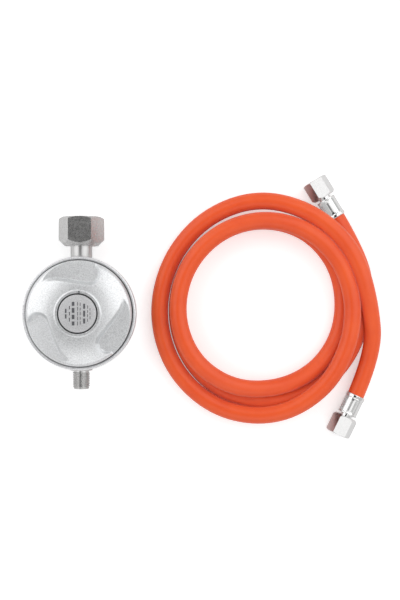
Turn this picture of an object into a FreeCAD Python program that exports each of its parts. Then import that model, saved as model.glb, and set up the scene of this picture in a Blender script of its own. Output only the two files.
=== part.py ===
"""Gas regulator with a coiled hose, lying side by side as a matched pair.

The origin is on the regulator's diaphragm axis at its back face. +Z is up through the
cover, +Y points at the inlet nut and +X at the coiled hose. All sizes are millimetres.
"""
import FreeCAD, Part
import math
import os
from FreeCAD import Vector as V

X_AXIS = V(1, 0, 0)
Y_AXIS = V(0, 1, 0)
Z_AXIS = V(0, 0, 1)

# Fits and small clearances
press_gap = 0.02
running_gap = 0.06
thread_gap = 0.1
free_gap = 0.3
cut_over = 1.0

# Regulator housing, its heights stacked on the gas passage's axis
gas_axis_z = 18.0
chamber_depth = 13.0
flange_height = 11.0
flange_thickness = 4.0
rim_lip_height = 4.0
rim_radius = 42.5
rim_wall = 2.4
rim_round = 1.1
back_pad_radius = 18.0
bowl_edge_width = 3.0
bowl_edge_z = 3.0
bowl_inset = 9.5
bowl_corner_z = 6.5
flare_height = 9.0
roll_room_inset = 9.0
roll_room_depth = 7.0
chamber_inset = 13.5
boss_inset = 1.5
inlet_boss_radius = 11.5
outlet_boss_radius = 10.0
guide_wall = 2.4
guide_behind_pivot = 4.0
boss_bore_overlap = 0.5
passage_reach = 2.0

chamber_floor_z = gas_axis_z - chamber_depth
flange_bottom_z = gas_axis_z + flange_height
clamp_seat_z = flange_bottom_z + flange_thickness
rim_top_z = clamp_seat_z + rim_lip_height
bowl_radius = rim_radius - bowl_inset
roll_room_radius = rim_radius - roll_room_inset
chamber_radius = rim_radius - chamber_inset
boss_end_y = rim_radius - boss_inset

# Diaphragm, plate, stem and spring
diaphragm_thickness = 1.2
diaphragm_drop = 3.0
roll_depth = 2.4
roll_half_width = 1.2
roll_inner_half_width = 0.4
roll_outer_inset = 2.0
roll_width = 4.5
disc_to_roll = 5.0
disc_edge_step = 0.5
plate_inset = 1.5
plate_thickness = 1.0
plate_lip = 2.0
plate_bend = 0.8
plate_inner_bend = 0.4
stem_radius = 1.5
stem_collar_radius = 3.4
stem_collar_thickness = 1.6
stem_collar_gap = 0.85
stem_foot_thickness = 1.8
stem_shank_extra = 0.8
stem_flange_extra = 1.6
stem_flange_thickness = 1.2
stem_end_bevel = 0.4
stem_end_proud = 0.6
stem_nut_across_flats = 7.0
stem_nut_height = 2.4
spring_mean_radius = 9.6
spring_wire = 1.8
spring_turns = 3.25

diaphragm_disc_z = clamp_seat_z - diaphragm_drop
roll_outer_radius = roll_room_radius - roll_outer_inset
roll_bottom_radius = roll_outer_radius - roll_width
diaphragm_disc_radius = roll_bottom_radius - disc_to_roll
plate_radius = diaphragm_disc_radius - plate_inset

# Cover, its heights stacked on the rim
cover_wall = 2.2
cover_edge_round = 4.5
cover_edge_height = 6.0
cover_bead_clearance = 0.6
cover_inner_bevel = 2.0
dome_rise = 3.9
dome_edge_slope_angle = 78.0
bezel_radius = 16.9
bezel_rise = 1.5
bezel_round = 0.5
bezel_foot_width = 1.2
bezel_foot_rise = 0.3
cap_radius = 13.95
cap_thickness = 2.3
cap_depth = 1.9
cap_plug_depth = 0.6
cap_round = 0.5
seal_width = 1.05
seal_height = 1.5
seal_bevel = 0.3
bonnet_bore_radius = 13.0
bonnet_wall = 2.0
bonnet_depth = 7.5
bonnet_outer_clearance = 0.5
vent_radius = 0.7
vent_centre_radius = 15.95
vent_angle = 86.0
screw_thickness = 3.4
screw_socket_flats = 8.0
screw_socket_depth = 2.4

dome_edge_z = rim_top_z + cover_edge_height
dome_top_z = dome_edge_z + dome_rise
bezel_top_z = dome_top_z + bezel_rise
cap_seat_z = bezel_top_z - cap_depth
bonnet_bottom_z = cap_seat_z - bonnet_depth
cover_radius = rim_radius - rim_wall - free_gap * 2

# Comet-shaped recesses in the cover, evenly spaced: each edge point is an angle and a share
# of the cover's radius, from the comet's tail round to its head
swirl_count = 3
swirl_edge = ((146.0, 0.952), (140.4, 0.901), (125.7, 0.790), (101.0, 0.615), (82.0, 0.577),
              (69.8, 0.592), (62.0, 0.660), (60.4, 0.775), (63.2, 0.868), (69.0, 0.952))
swirl_overrun = 3.0
swirl_wall_slope = 2.0
swirl_plane_angle = 52.0
swirl_plane_rise = 0.4
swirl_plane_fall = 0.13
swirl_top_room = 6.0

# Valve: nozzle, carrier, pad and lever, set out inwards from the inlet boss's end
nozzle_end_inset = 8.0
nozzle_flange_length = 7.0
nozzle_tip_radius = 2.6
nozzle_tip_bevel = 0.6
nozzle_tip_length = 1.0
nozzle_foot_width = 0.8
nozzle_orifice_radius = 1.1
nozzle_bore_radius = 3.4
nozzle_bore_depth = 3.0
nozzle_bore_cone = 2.0
carrier_to_flange = 5.0
carrier_length = 8.6
carrier_radius = 6.0
carrier_flat = 5.0
pad_radius = 4.4
pad_thickness = 2.0
pad_proud = 1.0
valve_gap = 0.9
pivot_to_carrier_front = 6.0
pivot_pin_radius = 1.25
pivot_ear_thickness = 2.6
pivot_ear_half_width = 3.2
pivot_ear_half_length = 3.4
pivot_ear_height = 4.0
pivot_ear_sink = 0.5
lever_slot_length = 4.5
lever_width = 5.6
lever_arm_thickness = 1.8
lever_hub_radius = 2.6
lever_short_arm = 8.0
lever_tip_radius = 1.3
lever_tip_width = 4.4
lever_fork_reach = 3.5
lever_fork_gap = 0.4

nozzle_end_y = boss_end_y - nozzle_end_inset
nozzle_flange_y = nozzle_end_y - nozzle_flange_length
carrier_front_y = nozzle_flange_y - carrier_to_flange
carrier_back_y = carrier_front_y - carrier_length
pivot_y = carrier_front_y - pivot_to_carrier_front
pivot_z = gas_axis_z - lever_short_arm
guide_start_y = pivot_y - guide_behind_pivot

# Inlet side
spigot_radius = 8.2
spigot_root_radius = 7.2
spigot_root_length = 7.4
spigot_bore_radius = 4.2
inlet_nut_standoff = 10.0
inlet_nut_length = 22.0
inlet_nut_flats = 30.0
inlet_nut_wall = 3.0
inlet_nut_back_skirt = 12.8
inlet_thread_radius = 9.92
inlet_thread_length = 12.0
inlet_relief_radius = 10.4
inlet_collar_radius = 9.7
inlet_collar_thickness = 3.2
gasket_inner_radius = 5.6
gasket_thickness = 2.4
gasket_bevel = 0.4
filter_length = 9.0
filter_wall = 0.5

inlet_nut_start_y = boss_end_y + inlet_nut_standoff

# Outlet side
outlet_thread_radius = 6.58
outlet_thread_length = 14.1
outlet_thread_bevel = 1.1
outlet_root_radius = 6.2
outlet_root_length = 8.0
outlet_shoulder_radius = 8.4
outlet_shoulder_thickness = 2.4
outlet_bore_radius = 3.2
outlet_seat_radius = 4.8
outlet_seat_depth = 2.6

# Hose, crimped ferrules, inserts and union nuts
hose_diameter = 13.0
hose_bore = 6.3
ferrule_length = 16.2
ferrule_flats = 14.0
ferrule_panels = 8
ferrule_ring_radius = 7.45
ferrule_mouth_ring = 2.7
ferrule_end_ring = 1.2
ferrule_end_wall = 1.0
ferrule_ring_round = 0.5
insert_bore_radius = 2.0
insert_tail_start = 1.5
insert_plain_tail = 2.0
insert_barbs = 4
insert_barb_depth = 0.45
insert_barb_share = 0.8
insert_neck_radius = 4.5
insert_head_radius = 5.6
insert_head_thickness = 2.3
insert_cone_length = 1.6
insert_cone_radius = 3.4
neck_length = 1.8
hose_nut_flats = 17.0
hose_nut_length = 15.2
hose_nut_wall = 3.0
hose_nut_back_skirt = 8.1
hose_nut_thread_radius = 5.72
hose_nut_thread_length = 8.0
hose_nut_relief_radius = 6.1

# Hexagon chamfers of the union nuts
nut_chamfer_angle = 30.0
nut_mouth_skirt_share = 0.97

# Coil: an outer and an inner lane of turns, two layers high
coil_centre = V(142.0, 4.0, 0.0)
coil_ring_shift = -2.0
coil_outer_lane = 80.8
coil_inner_lane = 64.5
coil_upper_outer_lane = 78.5
coil_upper_inner_lane = 65.5
layer_gap = 0.1
channel_gap = 0.1

# Routes: the share of the shorter run that an arc takes up, and how well the bar keeps its section
arc_share = 0.45
sweep_tolerance = 0.01

# Fitting ends: where the hose enters each ferrule, and the way the fitting points
fitting_z = hose_nut_flats / 2
fitting_a_mouth = V(52.9, 69.4, fitting_z)
fitting_a_way = V(-0.527, 0.850, 0.0)
fitting_b_mouth = V(67.8, -66.9, fitting_z)
fitting_b_way = V(-0.436, -0.900, 0.0)
tail_a_bend = 38.0
tail_a_inner_point = V(77.4, 14.1, 6.6)
tail_b_bend = 48.0
tail_b_inner_point = V(75.4, 9.5, 16.0)


def ring_profile(points):
    """Closed face in the XZ plane from (radius, height) corners."""
    corners = [V(radius, 0, height) for radius, height in points]
    return Part.Face(Part.makePolygon(corners + corners[:1]))


def turned(points):
    """Solid of revolution about +Z."""
    return ring_profile(points).revolve(V(0, 0, 0), Z_AXIS, 360)


def along_y(shape, start_y, height, way=1):
    """Turn a shape built up +Z so that it runs along +Y or -Y from start_y."""
    moved = shape.copy()
    moved.rotate(V(0, 0, 0), X_AXIS, -90 * way)
    moved.translate(V(0, start_y, height))
    return moved


def placed(shape, mouth, way):
    """Turn a shape built up +Z so that it runs along a level direction, its X side upwards."""
    side = way.cross(Z_AXIS)
    turn = FreeCAD.Rotation(Z_AXIS, side, way, "ZXY")
    moved = shape.copy()
    moved.Placement = FreeCAD.Placement(mouth, turn).multiply(moved.Placement)
    return moved


def bar(low, high):
    """Box between two opposite corners."""
    return Part.makeBox(high[0] - low[0], high[1] - low[1], high[2] - low[2], V(*low))


def rod(radius, start, end):
    """Cylinder between two points."""
    return Part.makeCylinder(radius, (end - start).Length, start, end - start)


def hexagon_bar(across_flats, length, sides=6):
    """Regular prism up +Z with a flat facing +X."""
    corner = across_flats / 2 / math.cos(math.pi / sides)
    turns = [math.pi * (2 * k + 1) / sides for k in range(sides)]
    ring = [V(corner * math.cos(turn), corner * math.sin(turn), 0) for turn in turns]
    return Part.Face(Part.makePolygon(ring + ring[:1])).extrude(V(0, 0, length))


def union_nut(across_flats, length, wall, hole_radius, relief_radius, thread_radius, thread_length,
              back_skirt):
    """Union nut up +Z: back wall with a hole, relief, then the thread's minor bore and its mouth."""
    corner = across_flats / 2 / math.cos(math.pi / 6)
    skirt = across_flats / 2 * nut_mouth_skirt_share
    slope = math.tan(math.radians(nut_chamfer_angle))
    mouth_fall = (corner - skirt) * slope
    back_fall = corner - back_skirt
    envelope = turned([(0, 0), (back_skirt, 0), (corner, back_fall), (corner, length - mouth_fall),
                       (skirt, length), (0, length)])
    nut = hexagon_bar(across_flats, length).common(envelope)
    thread_start = length - thread_length
    bore = turned([(0, 0), (hole_radius, 0), (hole_radius, wall), (relief_radius, wall),
                   (relief_radius, thread_start), (thread_radius, thread_start), (thread_radius, length),
                   (0, length)])
    return nut.cut(bore)


def arc_of(centre, radius, from_angle, to_angle, points=5):
    """Points on an arc of a profile, angles in degrees."""
    steps = [from_angle + (to_angle - from_angle) * k / (points - 1) for k in range(points)]
    return [(centre[0] + radius * math.cos(math.radians(a)), centre[1] + radius * math.sin(math.radians(a)))
            for a in steps]


def route_wire(points, name):
    """Straight runs joined by tangent arcs, each as large as its two runs allow."""
    edges = []
    radii = []
    start = points[0]
    for before, here, after in zip(points, points[1:], points[2:]):
        run_in = here - before
        run_out = after - here
        half_turn = run_in.getAngle(run_out) / 2
        setback = arc_share * min(run_in.Length, run_out.Length)
        radii.append(setback / math.tan(half_turn))
        way_in = run_in.normalize()
        way_out = run_out.normalize()
        arc_start = here - way_in * setback
        arc_end = here + way_out * setback
        inward = (way_out - way_in).normalize()
        middle = here + inward * (radii[-1] / math.cos(half_turn) - radii[-1])
        edges.append(Part.LineSegment(start, arc_start).toShape())
        edges.append(Part.Arc(arc_start, middle, arc_end).toShape())
        start = arc_end
    edges.append(Part.LineSegment(start, points[-1]).toShape())
    print(name, "bend radii", [round(r, 1) for r in radii])
    return Part.Wire(edges)


def swept_disc(wire, radius):
    """Solid round bar along a route."""
    first = wire.Edges[0]
    way = first.tangentAt(first.FirstParameter)
    section = Part.Wire(Part.makeCircle(radius, first.valueAt(first.FirstParameter), way))
    solid = wire.makePipeShell([section], True, True)
    ideal = math.pi * radius ** 2 * wire.Length
    if abs(solid.Volume - ideal) > sweep_tolerance * ideal:
        raise ValueError("the swept bar doesn't hold its section along the route")
    return solid


def make_body_casting():
    """Die-cast bowl with its rolled rim, inlet and outlet bosses, valve guide and lever ears."""
    seat_radius = rim_radius - rim_wall
    rim = arc_of((rim_radius - rim_round, rim_top_z - rim_round), rim_round, 0, 90)
    rim_inner = arc_of((seat_radius + rim_round, rim_top_z - rim_round), rim_round, 90, 180)
    outside = [(0, 0), (back_pad_radius, 0), (bowl_radius - bowl_edge_width, bowl_edge_z),
               (bowl_radius, bowl_corner_z), (bowl_radius, flange_bottom_z - flare_height),
               (rim_radius, flange_bottom_z)]
    outside += rim + rim_inner
    outside += [(seat_radius, clamp_seat_z), (0, clamp_seat_z)]
    body = turned(outside)
    inlet_boss = rod(inlet_boss_radius, V(0, 0, gas_axis_z), V(0, boss_end_y, gas_axis_z))
    outlet_boss = rod(outlet_boss_radius, V(0, 0, gas_axis_z), V(0, -boss_end_y, gas_axis_z))
    body = body.fuse([inlet_boss, outlet_boss])
    roll_room_z = clamp_seat_z - roll_room_depth
    chamber = turned([(0, chamber_floor_z), (chamber_radius, chamber_floor_z), (chamber_radius, roll_room_z),
                      (roll_room_radius, roll_room_z), (roll_room_radius, clamp_seat_z + free_gap),
                      (0, clamp_seat_z + free_gap)])
    body = body.cut(chamber)

    guide_radius = carrier_radius + running_gap
    guide = rod(guide_radius + guide_wall, V(0, guide_start_y, gas_axis_z),
                V(0, chamber_radius + cut_over, gas_axis_z))
    ear_half = pivot_ear_half_width + pivot_ear_thickness
    ears = bar(V(-ear_half, pivot_y - pivot_ear_half_length, chamber_floor_z - pivot_ear_sink),
               V(ear_half, pivot_y + pivot_ear_half_length, pivot_z + pivot_ear_height))
    body = body.fuse([guide, ears])

    carrier_bore = rod(guide_radius, V(0, guide_start_y - cut_over, gas_axis_z),
                       V(0, nozzle_end_y, gas_axis_z))
    spigot_bore = rod(spigot_root_radius + press_gap, V(0, nozzle_end_y - boss_bore_overlap, gas_axis_z),
                      V(0, boss_end_y + cut_over, gas_axis_z))
    outlet_bore = rod(outlet_root_radius + press_gap, V(0, -boss_end_y - cut_over, gas_axis_z),
                      V(0, -boss_end_y + outlet_root_length, gas_axis_z))
    outlet_passage = rod(outlet_bore_radius, V(0, -boss_end_y, gas_axis_z),
                         V(0, passage_reach - chamber_radius, gas_axis_z))
    lever_slot = bar(V(-pivot_ear_half_width, guide_start_y - cut_over, chamber_floor_z),
                     V(pivot_ear_half_width, pivot_y + lever_slot_length, gas_axis_z))
    pin_reach = ear_half + cut_over
    pin_hole = rod(pivot_pin_radius + press_gap, V(-pin_reach, pivot_y, pivot_z),
                   V(pin_reach, pivot_y, pivot_z))
    return body.cut([carrier_bore, spigot_bore, outlet_bore, outlet_passage, lever_slot, pin_hole])


def swirl_outline(extra, height):
    """Closed outline of one recess, drawn out past the rim; extra moves its inner edge inwards."""
    def point(angle, radius):
        return V(radius * math.cos(math.radians(angle)), radius * math.sin(math.radians(angle)), height)

    reach = rim_radius + swirl_overrun
    edge = [point(angle, share * cover_radius - extra) for angle, share in swirl_edge]
    widen = math.degrees(extra / rim_radius)
    head_angle = swirl_edge[-1][0] - widen
    tail_angle = swirl_edge[0][0] + widen
    head_out = point(head_angle, reach)
    tail_out = point(tail_angle, reach)
    curve = Part.BSplineCurve()
    curve.interpolate(edge)
    return Part.Wire([curve.toShape(), Part.LineSegment(edge[-1], head_out).toShape(),
                      Part.Arc(head_out, point((head_angle + tail_angle) / 2, reach), tail_out).toShape(),
                      Part.LineSegment(tail_out, edge[0]).toShape()])


def swirl_tool(grow, drop):
    """Cutter for one recess: sloped side walls and a floor that falls towards the comet's head."""
    low_z = rim_top_z - swirl_top_room
    high_z = dome_top_z + swirl_top_room
    slope = swirl_wall_slope / 2
    walls = [swirl_outline(grow - slope, low_z), swirl_outline(grow + slope, high_z)]
    prism = Part.makeLoft(walls, True, True)
    tilt = math.degrees(math.atan(swirl_plane_fall))
    size = 4 * rim_radius
    floor = Part.makeBox(size, size, size, V(-size / 2, -size / 2, 0))
    floor.rotate(V(0, 0, 0), Y_AXIS, tilt)
    floor.rotate(V(0, 0, 0), Z_AXIS, swirl_plane_angle)
    floor.translate(V(0, 0, dome_edge_z + swirl_plane_rise - drop))
    return prism.common(floor)


def make_cover():
    """Domed cover with a raised bezel, a bonnet tube and three comet-shaped recesses."""
    bottom_z = clamp_seat_z + diaphragm_thickness
    edge_centre = (cover_radius - cover_edge_round, dome_edge_z - cover_edge_round)
    bezel = arc_of((bezel_radius - bezel_round, bezel_top_z - bezel_round), bezel_round, 0, 90, 3)
    outside = [(0, bottom_z), (cover_radius, bottom_z)]
    outside += arc_of(edge_centre, cover_edge_round, 0, dome_edge_slope_angle, 7)
    outside += [(bezel_radius + bezel_foot_width, dome_top_z), (bezel_radius, dome_top_z + bezel_foot_rise)]
    outside += bezel + [(0, bezel_top_z)]
    cover = turned(outside)
    below = bottom_z - cut_over
    bonnet_radius = bonnet_bore_radius + bonnet_wall
    inner_radius = roll_room_radius + cover_bead_clearance
    side_z = dome_edge_z - cover_wall
    roof_z = dome_top_z - cover_wall
    cavity = turned([(bonnet_radius, below), (inner_radius, below),
                     (inner_radius, side_z - cover_inner_bevel), (inner_radius - cover_inner_bevel, side_z),
                     (bezel_radius + cut_over, roof_z), (bonnet_radius, roof_z)])
    shortened = bonnet_radius + bonnet_outer_clearance
    below_bonnet = turned([(0, below), (shortened, below), (shortened, bonnet_bottom_z),
                           (0, bonnet_bottom_z)])
    seat_radius = cap_radius + seal_width + press_gap
    seat = turned([(0, bonnet_bottom_z - cut_over), (bonnet_bore_radius, bonnet_bottom_z - cut_over),
                   (bonnet_bore_radius, cap_seat_z), (seat_radius, cap_seat_z),
                   (seat_radius, bezel_top_z + cut_over), (0, bezel_top_z + cut_over)])
    recess = swirl_tool(0, 0)
    pocket = swirl_tool(cover_wall, cover_wall)
    for turn in range(swirl_count):
        around = 360.0 * turn / swirl_count
        cut = recess.copy()
        cut.rotate(V(0, 0, 0), Z_AXIS, around)
        cover = cover.cut(cut)
        keep = pocket.copy()
        keep.rotate(V(0, 0, 0), Z_AXIS, around)
        cavity = cavity.cut(keep)
    vent_x = vent_centre_radius * math.cos(math.radians(vent_angle))
    vent_y = vent_centre_radius * math.sin(math.radians(vent_angle))
    vent = rod(vent_radius, V(vent_x, vent_y, roof_z - cut_over), V(vent_x, vent_y, bezel_top_z + cut_over))
    return cover.cut([cavity, below_bonnet, seat, vent])


def make_label_cap():
    """Round cap that closes the bonnet, with a plug under its rim."""
    top = cap_seat_z + cap_thickness
    radius = cap_radius - press_gap
    plug_radius = bonnet_bore_radius - free_gap
    edge = arc_of((radius - cap_round, top - cap_round), cap_round, 0, 90, 4)
    return turned([(0, cap_seat_z - cap_plug_depth), (plug_radius, cap_seat_z - cap_plug_depth),
                   (plug_radius, cap_seat_z), (radius, cap_seat_z)] + edge + [(0, top)])


def make_cap_seal():
    """Dark ring between the cap and the bezel."""
    outer = cap_radius + seal_width
    high = cap_seat_z + seal_height
    return turned([(cap_radius, cap_seat_z), (outer, cap_seat_z), (outer, high - seal_bevel),
                   (outer - seal_bevel, high), (cap_radius + seal_bevel, high),
                   (cap_radius, high - seal_bevel)])


def screw_bottom_z():
    """Underside of the adjusting screw, where the main spring bears."""
    return cap_seat_z - cap_plug_depth - free_gap - screw_thickness


def plate_top_z():
    """Top face of the diaphragm plate, where the main spring stands."""
    return diaphragm_disc_z + diaphragm_thickness + press_gap + plate_thickness


def make_adjusting_screw():
    """Threaded disc with a hexagon socket that sets the main spring."""
    low = screw_bottom_z()
    high = low + screw_thickness
    disc = rod(bonnet_bore_radius - thread_gap, V(0, 0, low), V(0, 0, high))
    socket = hexagon_bar(screw_socket_flats, screw_socket_depth + cut_over)
    socket.translate(V(0, 0, high - screw_socket_depth))
    return disc.cut(socket)


def make_main_spring():
    """Compression spring between the plate and the adjusting screw."""
    low = plate_top_z() + press_gap + spring_wire / 2
    height = screw_bottom_z() - press_gap - spring_wire / 2 - low
    helix = Part.makeHelix(height / spring_turns, height, spring_mean_radius)
    section = Part.Wire(Part.makeCircle(spring_wire / 2, V(spring_mean_radius, 0, 0), Y_AXIS))
    coil = Part.Wire(helix.Edges).makePipeShell([section], True, True)
    coil.translate(V(0, 0, low))
    return coil


def make_diaphragm():
    """Rubber diaphragm: clamped bead, one rolling fold and a flat middle."""
    low = diaphragm_disc_z
    high = low + diaphragm_thickness
    roll_low = low - roll_depth
    roll_high = roll_low + diaphragm_thickness
    bead_top = clamp_seat_z + diaphragm_thickness - press_gap
    bead_radius = rim_radius - rim_wall - free_gap
    hole = stem_radius + press_gap
    return turned([(hole, low), (diaphragm_disc_radius, low),
                   (roll_bottom_radius - roll_half_width, roll_low),
                   (roll_bottom_radius + roll_half_width, roll_low),
                   (roll_outer_radius + roll_half_width, clamp_seat_z), (bead_radius, clamp_seat_z),
                   (bead_radius, bead_top), (roll_outer_radius, bead_top),
                   (roll_bottom_radius + roll_inner_half_width, roll_high),
                   (roll_bottom_radius - roll_inner_half_width, roll_high),
                   (diaphragm_disc_radius + disc_edge_step, high), (hole, high)])


def make_diaphragm_plate():
    """Pressed plate with an upturned lip, on top of the diaphragm."""
    low = diaphragm_disc_z + diaphragm_thickness + press_gap
    top = low + plate_thickness
    hole = stem_radius + press_gap
    lip_radius = plate_radius - plate_thickness
    return turned([(hole, low), (plate_radius - plate_bend, low), (plate_radius, low + plate_bend),
                   (plate_radius, low + plate_lip), (lip_radius, low + plate_lip),
                   (lip_radius, top + plate_inner_bend), (lip_radius - plate_inner_bend, top), (hole, top)])


def make_diaphragm_stem():
    """Stem under the diaphragm, with a neck between two collars for the lever's fork."""
    upper = pivot_z + lever_arm_thickness / 2 + stem_collar_gap
    lower = pivot_z - lever_arm_thickness / 2 - stem_collar_gap
    collar_top = upper + stem_collar_thickness
    shoulder = diaphragm_disc_z - press_gap
    flange_low = shoulder - stem_flange_thickness
    flange_radius = stem_collar_radius + stem_flange_extra
    shank_radius = stem_radius + stem_shank_extra
    top = plate_top_z() + press_gap + stem_nut_height + stem_end_proud
    return turned([(0, lower - stem_foot_thickness), (stem_collar_radius, lower - stem_foot_thickness),
                   (stem_collar_radius, lower), (stem_radius, lower), (stem_radius, upper),
                   (stem_collar_radius, upper), (stem_collar_radius, collar_top), (shank_radius, collar_top),
                   (shank_radius, flange_low), (flange_radius, flange_low), (flange_radius, shoulder),
                   (stem_radius, shoulder), (stem_radius, top - stem_end_bevel),
                   (stem_radius - stem_end_bevel, top), (0, top)])


def make_stem_nut():
    """Hexagon nut that clamps the plate and the diaphragm to the stem."""
    low = plate_top_z() + press_gap
    nut = hexagon_bar(stem_nut_across_flats, stem_nut_height)
    nut.translate(V(0, 0, low))
    hole = rod(stem_radius + press_gap, V(0, 0, low - cut_over), V(0, 0, low + stem_nut_height + cut_over))
    return nut.cut(hole)


def make_lever():
    """Bell-crank lever: fork round the stem, hub on the pin and a short arm up to the carrier."""
    half = lever_width / 2
    half_arm = lever_arm_thickness / 2
    arm_low = pivot_z - half_arm
    arm_high = pivot_z + half_arm
    long_arm = bar(V(-half, -lever_fork_reach, arm_low), V(half, pivot_y, arm_high))
    hub = rod(lever_hub_radius, V(-half, pivot_y, pivot_z), V(half, pivot_y, pivot_z))
    tip_half = lever_tip_width / 2
    short_arm = bar(V(-tip_half, pivot_y - half_arm, pivot_z), V(tip_half, pivot_y + half_arm, gas_axis_z))
    tip = rod(lever_tip_radius, V(-tip_half, pivot_y, gas_axis_z), V(tip_half, pivot_y, gas_axis_z))
    fork_half = stem_radius + lever_fork_gap
    slot_low = arm_low - cut_over
    slot_high = arm_high + cut_over
    slot = bar(V(-fork_half, -lever_fork_reach - cut_over, slot_low), V(fork_half, 0, slot_high))
    slot_end = rod(fork_half, V(0, 0, slot_low), V(0, 0, slot_high))
    hole = rod(pivot_pin_radius + running_gap, V(-half - cut_over, pivot_y, pivot_z),
               V(half + cut_over, pivot_y, pivot_z))
    return long_arm.fuse([hub, short_arm, tip]).removeSplitter().cut([slot, slot_end, hole])


def make_lever_pin():
    """Pin across the two ears of the casting."""
    half = pivot_ear_half_width + pivot_ear_thickness
    return rod(pivot_pin_radius, V(-half, pivot_y, pivot_z), V(half, pivot_y, pivot_z))


def make_valve_carrier():
    """Sliding carrier with gas flats, a slot for the lever's tip and a pocket for the pad."""
    carrier = rod(carrier_radius, V(0, carrier_back_y, gas_axis_z), V(0, carrier_front_y, gas_axis_z))
    flats = bar(V(-carrier_flat, carrier_back_y, gas_axis_z - carrier_flat),
                V(carrier_flat, carrier_front_y, gas_axis_z + carrier_radius))
    slot_half = lever_tip_radius + free_gap
    slot = bar(V(-carrier_radius, pivot_y - slot_half, gas_axis_z - carrier_radius - cut_over),
               V(carrier_radius, pivot_y + slot_half, gas_axis_z + slot_half))
    pocket_y = carrier_front_y - pad_thickness + pad_proud
    pocket = rod(pad_radius, V(0, pocket_y, gas_axis_z), V(0, carrier_front_y + cut_over, gas_axis_z))
    return carrier.common(flats).cut([slot, pocket])


def make_valve_pad():
    """Rubber pad that closes on the nozzle."""
    back = carrier_front_y - pad_thickness + pad_proud + press_gap
    return rod(pad_radius - press_gap, V(0, back, gas_axis_z), V(0, carrier_front_y + pad_proud, gas_axis_z))


def make_nozzle():
    """Turned seat nozzle with a raised lip, pressed into the inlet passage."""
    tip_y = carrier_front_y + pad_proud + valve_gap
    flange = nozzle_flange_y - tip_y
    end = nozzle_end_y - tip_y
    bore_end = end - nozzle_bore_depth
    profile = [(nozzle_orifice_radius, 0), (nozzle_tip_radius - nozzle_tip_bevel, 0),
               (nozzle_tip_radius, nozzle_tip_length), (nozzle_tip_radius + nozzle_foot_width, flange),
               (carrier_radius, flange), (carrier_radius, end), (nozzle_bore_radius, end),
               (nozzle_bore_radius, bore_end), (nozzle_orifice_radius, bore_end - nozzle_bore_cone)]
    return along_y(turned(profile), tip_y, gas_axis_z)


def collar_start_y():
    """Where the spigot's collar begins, just inside the union nut's back wall."""
    return inlet_nut_start_y + inlet_nut_wall + free_gap


def make_inlet_spigot():
    """Smooth neck pressed into the boss, with the collar that the union nut pulls on."""
    start = boss_end_y - spigot_root_length
    collar = collar_start_y() - start
    collar_end = collar + inlet_collar_thickness
    nose_end = collar_end + gasket_thickness - gasket_bevel
    nose = gasket_inner_radius - press_gap
    profile = [(spigot_bore_radius, 0), (spigot_root_radius, 0), (spigot_root_radius, spigot_root_length),
               (spigot_radius, spigot_root_length), (spigot_radius, collar), (inlet_collar_radius, collar),
               (inlet_collar_radius, collar_end), (nose, collar_end), (nose, nose_end),
               (spigot_bore_radius, nose_end)]
    return along_y(turned(profile), start, gas_axis_z)


def make_inlet_gasket():
    """Flat ring seal on the spigot's nose."""
    start = collar_start_y() + inlet_collar_thickness + press_gap
    outer = inlet_collar_radius - gasket_bevel
    ring = turned([(gasket_inner_radius, 0), (outer, 0), (outer, gasket_thickness - gasket_bevel),
                   (outer - gasket_bevel, gasket_thickness), (gasket_inner_radius, gasket_thickness)])
    return along_y(ring, start, gas_axis_z)


def make_inlet_filter():
    """Thimble filter in the spigot's bore."""
    radius = spigot_bore_radius - press_gap
    inner = radius - filter_wall
    thimble = turned([(0, 0), (radius, 0), (radius, filter_length), (inner, filter_length),
                      (inner, filter_wall), (0, filter_wall)])
    return along_y(thimble, boss_end_y, gas_axis_z)


def make_inlet_nut():
    """Left-hand union nut for the cylinder valve."""
    nut = union_nut(inlet_nut_flats, inlet_nut_length, inlet_nut_wall, spigot_radius + thread_gap,
                    inlet_relief_radius, inlet_thread_radius, inlet_thread_length, inlet_nut_back_skirt)
    nut.rotate(V(0, 0, 0), Z_AXIS, 90)
    return along_y(nut, inlet_nut_start_y, gas_axis_z)


def make_outlet_nipple():
    """Threaded outlet with a conical inner seat, pressed into its boss."""
    root = outlet_root_length - free_gap
    shoulder_end = root + outlet_shoulder_thickness
    end = shoulder_end + outlet_thread_length
    bevel = outlet_thread_bevel
    profile = [(outlet_bore_radius, 0), (outlet_root_radius, 0), (outlet_root_radius, root),
               (outlet_shoulder_radius, root), (outlet_shoulder_radius, shoulder_end),
               (outlet_thread_radius, shoulder_end), (outlet_thread_radius, end - bevel),
               (outlet_thread_radius - bevel, end), (outlet_seat_radius, end),
               (outlet_bore_radius, end - outlet_seat_depth)]
    return along_y(turned(profile), root - boss_end_y, gas_axis_z, -1)


def make_ferrule():
    """Crimped ferrule up +Z from its mouth: a round ring at each end and flats between."""
    inner = hose_diameter / 2 + press_gap
    neck = insert_neck_radius + press_gap
    outer = ferrule_ring_radius
    bevel = ferrule_ring_round
    wall_start = ferrule_length - ferrule_end_wall
    envelope = turned([(inner, 0), (outer - bevel, 0), (outer, bevel), (outer, ferrule_length - bevel),
                       (outer - bevel, ferrule_length), (neck, ferrule_length), (neck, wall_start),
                       (inner, wall_start)])
    flats_length = ferrule_length - ferrule_mouth_ring - ferrule_end_ring
    flats = hexagon_bar(ferrule_flats, flats_length, ferrule_panels)
    flats.translate(V(0, 0, ferrule_mouth_ring))
    over = outer + cut_over
    mouth_ring = rod(over, V(0, 0, 0), V(0, 0, ferrule_mouth_ring))
    end_ring = rod(over, V(0, 0, ferrule_length - ferrule_end_ring), V(0, 0, ferrule_length))
    return envelope.common(flats.fuse([mouth_ring, end_ring]))


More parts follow.
